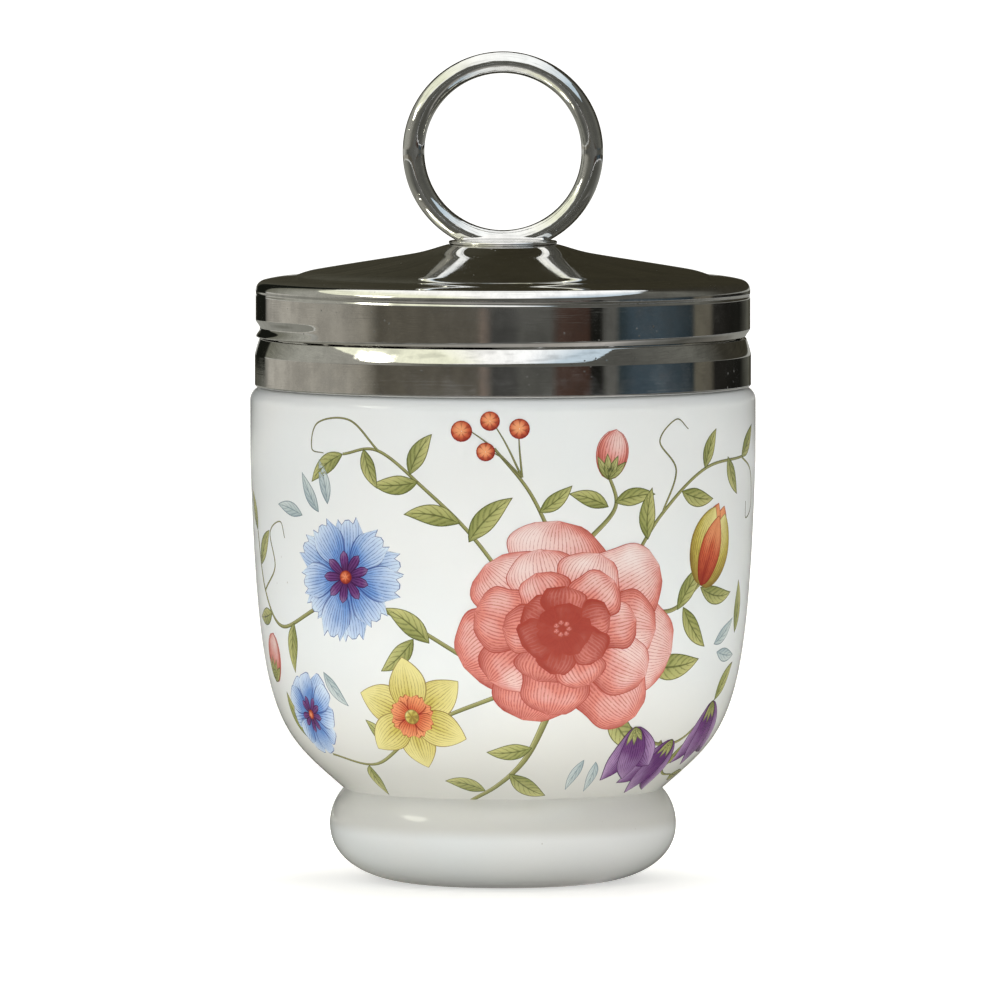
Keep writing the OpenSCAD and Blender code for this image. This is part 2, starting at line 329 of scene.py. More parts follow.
def make_lid():
    skirt_in_r = SKIRT_R - LID_SHEET
    top_z = lid_face(0)[-1][1]
    low_edge = 0.15
    skirt = [(SKIRT_R, z) for z in reversed(steps_between(SKIRT_Z + low_edge, top_z, 96))]
    inside = [(skirt_in_r, z) for z in steps_between(SKIRT_Z, top_z, 48)]
    outline = (
        [(STEM_R + STEM_GAP, BOSS_Z - LID_SHEET), (STEM_R + STEM_GAP, BOSS_Z)] + lid_face(0) + skirt
        + arc((SKIRT_R - low_edge, SKIRT_Z + low_edge), low_edge, 0, -90, 8)
        + [(skirt_in_r, SKIRT_Z)] + inside + list(reversed(lid_face(LID_SHEET)))
    )

    def dent(angle, r, z):
        if z > top_z or r < skirt_in_r - 1e-6:
            return 0
        return -crease(angle, z) - ridge_dent(angle, z, LID_RIDGE_Z, RIDGE_TURN, LID_RIDGE_W, LID_RIDGE_H)

    return lathe("lid_metal", outline, turns=360, dent=dent)


def make_seat():
    low, edge, peen_round = SEAT_LOW[2], 0.2, 0.17
    outline = (
        [(0, low)] + arc((PEEN_R - peen_round, low + peen_round), peen_round, -90, 90, 8)
        + [(STEM_R, low + PEEN_H), (STEM_R, BOSS_Z)]
        + arc((FLANGE_R - edge, BOSS_Z + edge), edge, -90, 0, 6)
        + arc((FLANGE_R - edge, FLANGE_Z - edge), edge, 0, 90, 8) + [(0, FLANGE_Z)]
    )
    return lathe("seat_metal", outline, turns=128, sharp_angle=35)


def make_ring():
    around, across = 192, 40
    verts, faces = [], []
    mid_r = RING_R - WIRE_R
    for i in range(around):
        a = tau * i / around
        for j in range(across):
            b = tau * j / across
            r = mid_r + WIRE_R * cos(b)
            verts.append((r * sin(a), WIRE_R * sin(b), RING_Z - r * cos(a)))
    for i in range(around):
        k = (i + 1) % around
        for j in range(across):
            m = (j + 1) % across
            faces.append((i * across + j, i * across + m, k * across + m, k * across + j))
    return make_object("ring_metal", verts, faces, 60)


def make_solder():
    """The solder that runs from the ring's sides out onto its seat."""
    half_long, half_wide, height = 4.55, 1.0, 0.75
    near, far, sink = 0.15, 1.15, 0.03
    loops, around = 12, 128
    verts, faces = [], []
    for j in range(loops + 1):
        t = j / loops
        off = near + (far - near) * t
        z = FLANGE_Z + height * (1 - t) ** 2.2 - sink * (j == loops)
        for i in range(around):
            a = tau * i / around
            x, y = cos(a), sin(a)
            verts.append((half_long * (1 if x > 0 else -1) * min(1, abs(x) * 1.6) + off * x,
                          half_wide * copysign(abs(y) ** 0.8, y) + off * y, z))
    last = loops * around
    verts += [(x, y, FLANGE_Z - 0.2) for x, y, _ in verts[last:]]
    for start, end in [(j * around, (j + 1) * around) for j in range(loops + 1)]:
        for i in range(around):
            k = (i + 1) % around
            faces.append((start + i, end + i, end + k, start + k))
    faces.append(tuple(range(around)))
    faces.append(tuple(reversed(range(last + around, last + 2 * around))))
    return make_object("ring_solder", verts, faces, 50)


def make_cement():
    top = CEMENT_HIGH[2]
    outline = ([(NECK_R, SHOULDER_Z), (BAND_R - COLLAR_SHEET, SHOULDER_Z)] + collar_face(COLLAR_SHEET)
               + [(COLLAR_R - COLLAR_SHEET, top), (NECK_R, top)])
    return lathe("cement_bed", outline, turns=192)


def make_washer():
    low, high, edge = WASHER_LOW[2], WASHER_HIGH[2], 0.1
    outline = [(STEM_R + STEM_GAP, low), (WASHER_R - edge, low), (WASHER_R, low + edge),
               (WASHER_R, high - edge), (WASHER_R - edge, high), (STEM_R + STEM_GAP, high)]
    return lathe("washer_metal", outline, turns=128)


# ---- materials
class Nodes:
    """A short way to write the nodes of a material or of the world."""

    def __init__(self, name, kind="materials"):
        self.owner = getattr(bpy.data, kind).new(name)
        self.owner.use_nodes = True
        self.tree = self.owner.node_tree
        self.shader = self.tree.nodes.get("Principled BSDF")

    def put(self, socket, value):
        if isinstance(value, bpy.types.NodeSocket):
            self.tree.links.new(value, socket)
        else:
            socket.default_value = value

    def add(self, kind, inputs=None, out=0, **settings):
        """A new node's output, or all of its outputs where out is None."""
        node = self.tree.nodes.new("ShaderNode" + kind)
        for key, value in settings.items():
            setattr(node, key, value)
        for key, value in (inputs or {}).items():
            self.put(node.inputs[key], value)
        return node.outputs if out is None else node.outputs[out]

    def set(self, name, value):
        self.put(self.shader.inputs[name], value)

    def show(self, shader):
        """Puts a shader on the surface."""
        output = next(node for node in self.tree.nodes if node.type.startswith("OUTPUT"))
        self.put(output.inputs[0], shader)

    def place(self):
        return self.add("TexCoord", out=3)

    def parts(self, vector):
        return tuple(self.add("SeparateXYZ", {0: vector}, out=None))

    def join(self, x, y, z):
        return self.add("CombineXYZ", {0: x, 1: y, 2: z})

    def length(self, vector):
        return self.add("VectorMath", {0: vector}, out=1, operation="LENGTH")

    def math(self, operation, *values):
        return self.add("Math", dict(enumerate(values)), operation=operation)

    def plus(self, a, b):
        return self.math("ADD", a, b)

    def minus(self, a, b):
        return self.math("SUBTRACT", a, b)

    def times(self, a, b):
        return self.math("MULTIPLY", a, b)

    def ramp(self, factor, *stops):
        node = self.tree.nodes.new("ShaderNodeValToRGB")
        self.put(node.inputs[0], factor)
        elements = node.color_ramp.elements
        while len(elements) < len(stops):
            elements.new(0.5)
        for element, (place, *colour) in zip(elements, stops):
            element.position = place
            element.color = (*colour, 1)
        return node.outputs[0]

    def mix(self, factor, a, b):
        """Two colours, each a socket or three numbers."""
        a, b = ((*c, 1) if isinstance(c, tuple) else c for c in (a, b))
        return self.add("Mix", {0: factor, 6: a, 7: b}, out=2, data_type="RGBA")

    def noise(self, vector, scale, detail=2, rough=0.5):
        return self.add("TexNoise", {"Vector": vector, "Scale": scale, "Detail": detail,
                                     "Roughness": rough})

    def cells(self, vector, scale):
        return self.add("TexVoronoi", {"Vector": vector, "Scale": scale, "Randomness": 1.0})

    def glow(self, colour, strength):
        return self.add("Emission", {"Color": colour, "Strength": strength})

    def step(self, value, low, high, to_low=0, to_high=1):
        return self.add("MapRange", {0: value, 1: low, 2: high, 3: to_low, 4: to_high},
                        interpolation_type="SMOOTHSTEP")

    def bump(self, height, strength, distance):
        self.set("Normal", self.add("Bump", {"Height": height, "Strength": strength,
                                             "Distance": distance}))


DIRT = (0.10, 0.09, 0.08)


def worn_metal(name, colour, dull, haze, grain=0.25, pits=0.5, streaks=1.0, wire=0.0):
    """Polished plating: fine circular grain, patches of haze, and small pits. On wire
    the grain runs along it."""
    n = Nodes(name)
    place = n.place()
    x, y, z = n.parts(place)
    if wire:
        up = n.minus(z, RING_Z * MM)
        drawn = n.join(n.times(n.length(n.join(x, up, 0.0)), 1900.0), n.times(y, 1900.0),
                       n.times(n.math("ARCTAN2", x, up), 2.2))
        lines = n.noise(drawn, 1.0, 3, 0.55)
    else:
        along = n.minus(z, n.length(n.join(x, y, 0.0)))
        turned = n.join(n.times(x, 90.0), n.times(y, 90.0), n.times(along, 5200.0))
        lines = n.noise(turned, 1.0, 3, 0.6)
    cloud = n.noise(place, 160.0, 4, 0.6)
    blotch = n.noise(place, 520.0, 3, 0.65)
    pit = n.times(n.step(n.cells(place, 1100.0), 0.16, 0.05), n.step(n.noise(place, 240.0), 0.56, 0.66))
    hazy = n.plus(n.times(n.step(cloud, 0.4, 0.68), haze), n.times(n.step(blotch, 0.5, 0.75), haze * 0.6))
    rough = n.plus(dull, n.plus(hazy, n.times(pit, 0.3)))
    n.set("Roughness", n.plus(rough, n.times(n.minus(lines, 0.5), 0.05 * streaks)))
    tone = n.mix(n.step(blotch, 0.35, 0.75), colour, tuple(c * 0.86 for c in colour))
    n.set("Base Color", n.mix(n.times(pit, 0.7), tone, DIRT))
    n.set("Metallic", 1.0)
    height = n.minus(n.times(lines, grain), n.times(pit, pits))
    height = n.plus(height, n.times(n.noise(place, 110.0, 1), 1.2))
    n.bump(n.plus(height, n.times(lines, wire)), 0.35, 0.00004)
    return n.owner


def under_glaze(n, place, dull, grain):
    """The clear glaze over a colour: its gloss, and a skin that isn't quite flat."""
    smooth = n.noise(place, 300.0)
    n.set("Roughness", n.step(smooth, 0.3, 0.7, dull, dull + 0.05))
    n.set("IOR", 1.52)
    skin = n.noise(place, 55.0)
    n.bump(n.plus(skin, n.times(smooth, grain)) if grain else skin, 0.22, 0.0005)


# Painted shade, a warm darker grey in the glaze's colour: from the top of the foot to a little above the
# waist, in metres
WAIST_SHADE_FROM, WAIST_SHADE_TO = (0.0060, 0.0078), (0.031, 0.012)
WAIST_SHADE_COLOUR = (0.69, 0.69, 0.65)


def glaze():
    """White porcelain under a clear glaze, with a faint cast, painted shade in a warm darker grey about the
    waist and the top of the foot, and a few dark specks."""
    n = Nodes("porcelain_glaze")
    place = n.place()
    colour = n.mix(n.step(n.noise(place, 45.0, 3), 0.35, 0.65), (0.845, 0.875, 0.875), (0.865, 0.88, 0.87))
    z = n.parts(place)[2]
    # Painted shade: the colour turns a warm darker grey about the waist and the top of the foot
    colour = n.mix(n.times(n.step(z, *WAIST_SHADE_FROM), n.step(z, *WAIST_SHADE_TO)), colour, WAIST_SHADE_COLOUR)
    spot = n.times(n.step(n.cells(place, 420.0), 0.07, 0.03), n.step(n.noise(place, 70.0), 0.62, 0.66))
    n.set("Base Color", n.mix(n.times(spot, 0.45), colour, (0.35, 0.30, 0.24)))
    under_glaze(n, place, 0.05, 0.12)
    return n.owner


def cement():
    n = Nodes("cement_grain")
    grain = n.noise(n.place(), 1500.0, 4, 0.7)
    n.set("Base Color", n.ramp(grain, (0.3, 0.42, 0.40, 0.34), (0.7, 0.66, 0.63, 0.56)))
    n.set("Roughness", n.step(grain, 0.2, 0.8, 0.75, 0.95))
    n.bump(grain, 0.5, 0.0001)
    return n.owner


def ink(name, light, middle, dark, line, leafy=False, strength=0.6):
    """Printed colour under the glaze: a tint that deepens with the tone, engraved
    lines that thicken where it is dark, and a fine outline. Leafy lines slant from a
    rib."""
    n = Nodes("ink_" + name)
    place = n.place()
    shape = n.tree.nodes.new("ShaderNodeUVMap")
    shape.uv_map = "motif"
    u, v, _ = n.parts(shape.outputs[0])
    tone, edge, lines = (n.add("Attribute", out=2, attribute_name=stored)
                         for stored in ("tone", "edge", "lines"))
    grain = n.noise(place, 1700.0, 3, 0.6)
    tone = n.plus(tone, n.times(n.minus(n.noise(place, 420.0), 0.5), 0.25))
    phase = n.times(v, lines)
    if leafy:
        side = n.math("ABSOLUTE", n.minus(v, 0.5))
        phase = n.minus(n.times(u, lines), n.times(side, 4.0))
    phase = n.plus(phase, n.times(grain, 0.55))
    ripple = n.times(n.math("PINGPONG", phase, 0.5), 2.0)
    cover = n.times(n.minus(tone, 0.12), 0.95)
    drawn = n.step(n.minus(cover, ripple), -0.16, 0.16)
    drawn = n.times(drawn, n.step(grain, 0.36, 0.52, 0.35, 1.0))
    colour = n.ramp(tone, (0.0, *light), (0.22, *light), (0.58, *middle), (1.0, *dark))
    colour = n.mix(n.times(drawn, strength), colour, line)
    if leafy:
        colour = n.mix(n.times(n.step(side, 0.045, 0.015), 0.75), colour, line)
    border = n.plus(edge, n.times(n.minus(grain, 0.5), 0.12))
    n.set("Base Color", n.mix(n.times(n.step(border, 0.17, 0.06), 0.85), colour, line))
    under_glaze(n, place, 0.06, 0)
    return n.owner


# ---- the printed posy
WALL = [p for p in cup_outside() if p[1] >= WAIST_Z]
WALL_R = np.array([p[0] for p in WALL])
WALL_Z = np.array([p[1] for p in WALL])
WALL_LONG = np.concatenate([[0], np.cumsum(np.hypot(np.diff(WALL_R), np.diff(WALL_Z)))])
MIDDLE_Z = 36
WALL_LONG = WALL_LONG - np.interp(MIDDLE_Z, WALL_Z, WALL_LONG) + MIDDLE_Z
PRINT_R = 29.6
# How far the ink stands off the glaze, what each layer adds, and how deep it reaches in
PRINT_LIFT, PRINT_STEP, PRINT_SINK = 0.010, 0.005, 0.03
TENDRIL_W = 0.28


def on_glaze(across, up, lift):
    """Points on the cup: across is the distance round it from its front, up is the
    height measured along its wall, lift the distance off the glaze."""
    radius = np.interp(up, WALL_LONG, WALL_R) + lift
    height = np.interp(up, WALL_LONG, WALL_Z)
    angle = FRONT + across / PRINT_R
    return np.stack([radius * np.cos(angle), radius * np.sin(angle), height], axis=-1)


class Motif:
    """One printed motif: thin patches of ink that follow the glaze."""

    def __init__(self, name, place=(0, 0), turn=0, size=1.0, squash=1.0, level=0):
        self.name, self.place, self.turn, self.size, self.squash = name, place, turn, size, squash
        self.level = level
        self.verts, self.faces, self.inks, self.face_inks = [], [], [], []
        self.uv, self.tone, self.edge, self.lines = [], [], [], []
        self.count = 0

    def patch(self, across, up, tone, edge, lines, colour, layer):
        """Adds a patch from grids of points in the motif's own plane."""
        rows, cols = across.shape
        c, s = cos(self.turn), sin(self.turn)
        x, y = across * self.size, up * self.size * self.squash
        x, y = x * c - y * s + self.place[0], x * s + y * c + self.place[1]
        top = on_glaze(x, y, PRINT_LIFT + PRINT_STEP * (self.level + layer))
        low = on_glaze(x, y, -PRINT_SINK)
        u, v = np.meshgrid(np.linspace(0, 1, rows), np.linspace(0, 1, cols), indexing="ij")
        base, under = self.count, self.count + rows * cols
        for grid in (top, low):
            self.verts += [tuple(p) for p in grid.reshape(-1, 3)]
            self.uv += list(zip(u.ravel(), v.ravel()))
            self.tone += list(tone.ravel())
            self.edge += list(edge.ravel() * self.size)
            self.lines += [lines] * (rows * cols)
        self.count += 2 * rows * cols
        if colour not in self.inks:
            self.inks.append(colour)
        ink_index = self.inks.index(colour)

        def at(i, j, start):
            return start + i * cols + j

        quads = []
        for i in range(rows - 1):
            for j in range(cols - 1):
                cell = (i, j), (i + 1, j), (i + 1, j + 1), (i, j + 1)
                quads.append(tuple(at(*p, base) for p in cell))
                quads.append(tuple(at(*p, under) for p in cell[:1] + cell[:0:-1]))
        rim = ([(0, j) for j in range(cols)] + [(i, cols - 1) for i in range(1, rows)]
               + [(rows - 1, j) for j in range(cols - 2, -1, -1)] + [(i, 0) for i in range(rows - 2, 0, -1)])
        for p, q in zip(rim, rim[1:] + rim[:1]):
            quads.append((at(*p, base), at(*q, base), at(*q, under), at(*p, under)))
        self.faces += quads
        self.face_inks += [ink_index] * len(quads)

    def petal(self, base, angle, length, width, colour, layer, *, belly, tones, blunt=0.6, neck=0.9,
              end=0.0, teeth=0, tooth=0.0, bend=0.0, ruffle=0.0, phase=0.0, side=0.0, rim=0.0,
              lip=0.0, fold=0.0, lines=None, pitch=0.42):
        """A petal or leaf from its base out along angle. belly is where it is widest,
        end the width left at its tip, tones run from the base to the tip."""
        rows = max(8, int(length * self.size / 0.45))
        cols = max(7, int(width * self.size / 0.45))
        u = np.linspace(0, 1, rows)[:, None] * np.ones((1, cols))
        v = np.ones((rows, 1)) * (0.5 - 0.5 * np.cos(np.pi * np.linspace(0, 1, cols)))[None, :]
        v = 0.5 * v + 0.5 * np.linspace(0, 1, cols)[None, :]
        swing = 2 * v - 1
        open_part = np.clip(u / belly, 0, 1)
        close_part = np.clip((u - belly) / (1 - belly), 0, 1)
        shape = np.where(u < belly, np.sin(np.pi / 2 * open_part) ** neck,
                         end + (1 - end) * np.cos(np.pi / 2 * close_part) ** blunt)
        half = width / 2 * np.maximum(shape, 0.02)
        wave = 1 + ruffle * np.sin(2 * np.pi * (2.3 * u + phase + 0.27 * np.sign(swing))) * np.abs(swing)
        half = half * wave
        reach = 1 - 0.10 * swing ** 2 * (end > 0)
        if teeth:
            saw = np.abs(((v * teeth) % 1) - 0.5) * 2
            reach = reach - tooth * saw
        run = u * reach
        heading = angle + bend * run
        if abs(bend) > 1e-4:
            mid_x = base[0] + length * (np.sin(heading) - sin(angle)) / bend
            mid_y = base[1] - length * (np.cos(heading) - cos(angle)) / bend
        else:
            mid_x = base[0] + length * run * cos(angle)
            mid_y = base[1] + length * run * sin(angle)
        x = mid_x - half * swing * np.sin(heading)
        y = mid_y + half * swing * np.cos(heading)
        tone = tones[0] + (tones[1] - tones[0]) * u ** 0.8
        tone = tone + side * swing + rim * np.abs(swing) ** 4 + lip * np.exp(-((1 - u) / 0.13) ** 2)
        tone = tone + fold * np.exp(-(swing / 0.25) ** 2) * (1 - u)
        edge = half * (1 - np.abs(swing))
        if end > 0:
            edge = np.minimum(edge, (1 - u) * length)
        count = lines or max(3, round(width * self.size / pitch))
        self.patch(x, y, np.clip(tone, 0, 1), edge, float(count), colour, layer)

    def stem(self, points, width, layer=0, taper=0.6):
        """A stem along a smooth line through points."""
        path = smooth_line(points)
        rows, cols = len(path), 5
        step = np.gradient(path, axis=0)
        step /= np.linalg.norm(step, axis=1)[:, None]
        u = np.linspace(0, 1, rows)[:, None]
        v = np.linspace(-1, 1, cols)[None, :]
        half = width / 2 * (1 - taper * u)
        x = path[:, 0:1] - step[:, 1:2] * half * v
        y = path[:, 1:2] + step[:, 0:1] * half * v
        shade = 0.5 + 0.28 * v + 0 * u
        edge = half * (1 - np.abs(v)) + 0.05
        self.patch(x, y, shade, edge, 2.0, "stem", layer)

    def disc(self, middle, radius, colour, layer, tones, lines):
        """A round patch, such as a berry or the middle of a flower."""
        rows, cols = 9, max(20, int(radius * self.size * 14))
        u = np.linspace(0.04, 1, rows)[:, None] * np.ones((1, cols))
        v = np.ones((rows, 1)) * np.linspace(0, 1, cols)[None, :]
        a = 2 * np.pi * v
        x, y = middle[0] + radius * u * np.cos(a), middle[1] + radius * u * np.sin(a)
        tone = tones[0] + (tones[1] - tones[0]) * (u ** 1.5) - 0.25 * np.cos(a - 2.2) * u
        self.patch(x, y, np.clip(tone, 0, 1), radius * (1 - u), float(lines), colour, layer)

    def build(self):
        mesh = bpy.data.meshes.new(self.name)
        mesh.from_pydata([(x * MM, y * MM, z * MM) for x, y, z in self.verts], [], self.faces)
        piece = add_object(self.name, mesh)
        for colour in self.inks:
            mesh.materials.append(INKS[colour])
        mesh.polygons.foreach_set("material_index", self.face_inks)
        layer = mesh.uv_layers.new(name="motif")
        corner = np.zeros(len(mesh.loops), dtype=np.int32)
        mesh.loops.foreach_get("vertex_index", corner)
        layer.data.foreach_set("uv", np.array(self.uv, dtype=np.float32)[corner].ravel())
        for name, values in (("tone", self.tone), ("edge", self.edge), ("lines", self.lines)):
            attribute = mesh.attributes.new(name, "FLOAT", "POINT")
            attribute.data.foreach_set("value", np.array(values, dtype=np.float32))
        mesh.shade_smooth()
        mesh.set_sharp_from_angle(angle=radians(40))
        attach(piece, "cup")


def smooth_line(points):
    """A Catmull-Rom line through points."""
    per_span = 14
    p = [np.array(q, dtype=float) for q in points]
    p = [2 * p[0] - p[1]] + p + [2 * p[-1] - p[-2]]
    line = []
    for a, b, c, d in zip(p, p[1:], p[2:], p[3:]):
        for i in range(per_span):
            t = i / per_span
            line.append(0.5 * (2 * b + (c - a) * t + (2 * a - 5 * b + 4 * c - d) * t * t
                               + (3 * b - a - 3 * c + d) * t ** 3))
    line.append(p[-2])
    return np.array(line)


INKS = {name: ink(name, *colours) for name, *colours in (
    ("pink", (0.90, 0.76, 0.72), (0.74, 0.27, 0.22), (0.34, 0.05, 0.035), (0.40, 0.06, 0.04)),
    ("blue", (0.66, 0.77, 0.88), (0.17, 0.33, 0.68), (0.035, 0.08, 0.33), (0.03, 0.06, 0.26)),
    ("yellow", (0.78, 0.71, 0.30), (0.58, 0.48, 0.10), (0.28, 0.18, 0.03), (0.20, 0.12, 0.03)),
    ("orange", (0.84, 0.36, 0.16), (0.62, 0.12, 0.05), (0.28, 0.03, 0.015), (0.24, 0.02, 0.015)),
    ("purple", (0.50, 0.33, 0.56), (0.16, 0.05, 0.20), (0.045, 0.008, 0.06), (0.04, 0.006, 0.05)),
    ("leaf", (0.56, 0.54, 0.22), (0.30, 0.32, 0.10), (0.09, 0.11, 0.04), (0.08, 0.09, 0.03), True, 0.5),
    ("leaf_pale", (0.66, 0.72, 0.70), (0.44, 0.52, 0.54), (0.20, 0.27, 0.30), (0.18, 0.24, 0.26), True, 0.5),
    ("stem", (0.50, 0.48, 0.22), (0.26, 0.26, 0.09), (0.08, 0.08, 0.03), (0.09, 0.09, 0.04), False, 0.3),
)}
DEG = pi / 180


def leaf(motif, base, angle, length, width, bend, layer=1, colour="leaf"):
    motif.petal(base, angle * DEG, length, width, colour, layer, belly=0.42, blunt=0.95, neck=0.85,
                bend=bend, tones=(0.62, 0.30), side=0.16, lines=max(4, round(length / 1.1)))


def leaves(motif, rows):
    """Leaves, each with its place, angle, length, width and bend."""
    for x, y, *shape in rows:
        leaf(motif, (x, y), *shape)


def pale_leaves(motif, length, rows):
    """Small pale leaves, each with its place, angle and bend."""
    for x, y, angle, bend in rows:
        leaf(motif, (x, y), angle, length, 1.7, bend, colour="leaf_pale")


def peony(name, place, size, seed):
    """Rings of rounded petals that grow smaller and darker towards the middle."""
    rng = random.Random(seed)
    m = Motif(name, place, turn=-0.2, size=size, squash=0.88, level=6)
    rings = [(7, 0.0, 13.2, 10.6, 1.05, 0.06), (7, 25.0, 10.6, 8.4, 1.05, 0.06),
             (6, 8.0, 7.8, 6.6, 1.1, 0.18), (6, 38.0, 5.4, 4.8, 1.15, 0.5),
             (5, 12.0, 3.4, 3.2, 1.1, 0.85)]
    layer = 3
    for count, first, length, width, deep, pale in rings:
        for k in range(count):
            a = first + 360 / count * k + rng.uniform(-7, 7)
            near = 1 + 0.10 * sin((a + 100) * DEG)
            shade = 0.09 - 0.11 * sin((a + 25) * DEG)
            m.petal((0, 0.8), a * DEG, length * near * rng.uniform(0.92, 1.07),
                    width * rng.uniform(0.92, 1.12), "pink", layer + (k % 2) + (2 if k == count - 1 else 0),
                    belly=rng.uniform(0.62, 0.74), blunt=0.42, neck=0.8, bend=rng.uniform(-0.35, 0.35),
                    ruffle=0.07, phase=rng.random(), tones=(deep, pale + shade + rng.uniform(0, 0.12)),
                    side=rng.uniform(-0.22, 0.22), rim=0.26, lip=0.30, fold=0.2, pitch=0.40)
        layer += 4
    for k in range(7):
        a = k * 51.4 + 10
        m.disc((0.75 * cos(a * DEG), 0.8 + 0.75 * sin(a * DEG)), 0.42, "pink", layer,
               tones=(0.6, 1.0), lines=4)
    return m


def cornflower(name, place, size, turn, squash=0.9, seed=3):
    """Toothed outer florets round a tuft of dark inner ones."""
    rng = random.Random(seed)
    m = Motif(name, place, turn=turn, size=size, squash=squash)
    for k in range(11):
        a = 360 / 11 * k + rng.uniform(-5, 5)
        m.petal((0, 0), a * DEG, 7.2 * rng.uniform(0.9, 1.05), 4.0, "blue", 2 + (k % 2) + 2 * (k == 10),
                belly=0.86, blunt=0.7, neck=1.5, end=0.86, teeth=3, tooth=0.17, bend=rng.uniform(-0.3, 0.3),
                tones=(0.95, 0.24), side=rng.uniform(-0.12, 0.12), pitch=0.36)
    for k in range(9):
        a = 40 * k + rng.uniform(-8, 8)
        m.petal((0, 0), a * DEG, 2.9, 1.1, "purple", 6 + (k % 2), belly=0.7, tones=(1.0, 0.45), pitch=0.3)
    m.disc((0, 0), 0.75, "orange", 9, tones=(0.3, 0.9), lines=6)
    return m


def daffodil(name, place, size, turn):
    """Six pointed petals behind a frilled trumpet."""
    m = Motif(name, place, turn=turn, size=size, squash=0.92)
    for k in range(6):
        m.petal((0, 0), (60 * k + 12) * DEG, 6.6, 4.3, "yellow", 2 + 3 * (k % 2), belly=0.5, blunt=0.85,
                neck=0.7, bend=0.15, tones=(0.70, 0.14), fold=0.25, side=0.08, pitch=0.36)
    for k in range(8):
        m.petal((0, 0), 45 * k * DEG, 2.7, 2.3, "orange", 7 + (k % 2), belly=0.8, blunt=0.5, end=0.6,
                teeth=2, tooth=0.12, tones=(0.85, 0.25), pitch=0.3)
    m.disc((0, 0), 0.85, "yellow", 10, tones=(0.9, 0.5), lines=6)
    return m


def bell(m, base, angle, size, layer):
    """A hanging bell of three joined petals with turned-out points."""
    for k, (off, wide, bend, side) in enumerate(((-15, 2.9, -0.5, 0.2), (15, 2.9, 0.5, -0.2),
                                                 (0, 3.1, 0.0, 0.05))):
        m.petal(base, (angle + off) * DEG, 6.2 * size, wide * size, "purple", layer + k, belly=0.55,
                blunt=0.95, neck=0.55, bend=bend, tones=(0.75, 0.35), side=side, fold=0.1, pitch=0.34)
    for off in (-28, 0, 28):
        leaf(m, base, angle + off, 1.9 * size, 0.6 * size, 0, layer + 4)


def bud(m, base, angle, size, layer):
    """A closed bud of three petals in its green cup."""
    for k, (off, wide, side) in enumerate(((-15, 2.9, 0.25), (15, 2.9, -0.25), (0, 3.3, 0.1))):
        m.petal(base, (angle + off) * DEG, 5.2 * size, wide * size, "pink", layer + k, belly=0.55,
                blunt=0.6, neck=0.55, bend=-off / 30, tones=(0.95, 0.22), side=side, rim=0.25, lip=0.2,
                pitch=0.34)
    for off in (-38, -14, 12, 36):
        leaf(m, base, angle + off, 2.7 * size, 0.9 * size, 0, layer + 4)


def tulip(name, place, size, angle, level):
    """A tulip from the side: red flames on yellow."""
    m = Motif(name, place, turn=angle * DEG, size=size, level=level)
    petals = ((-13, 8.9, 4.4, "orange", 0.90), (14, 8.8, 4.4, "orange", 1.0),
              (-26, 8.4, 4.6, "yellow", 0.85), (26, 8.4, 4.6, "yellow", 0.80),
              (0, 7.6, 3.6, "orange", 0.95))
    for layer, (off, long, wide, colour, deep) in enumerate(petals):
        m.petal((0, 0), off * DEG, long, wide, colour, layer, belly=0.5, blunt=0.8, neck=0.55,
                bend=-off / 40, tones=(deep, 0.12), side=off / 120, rim=0.25, lip=0.15, fold=0.35,
                pitch=0.36)
    return m


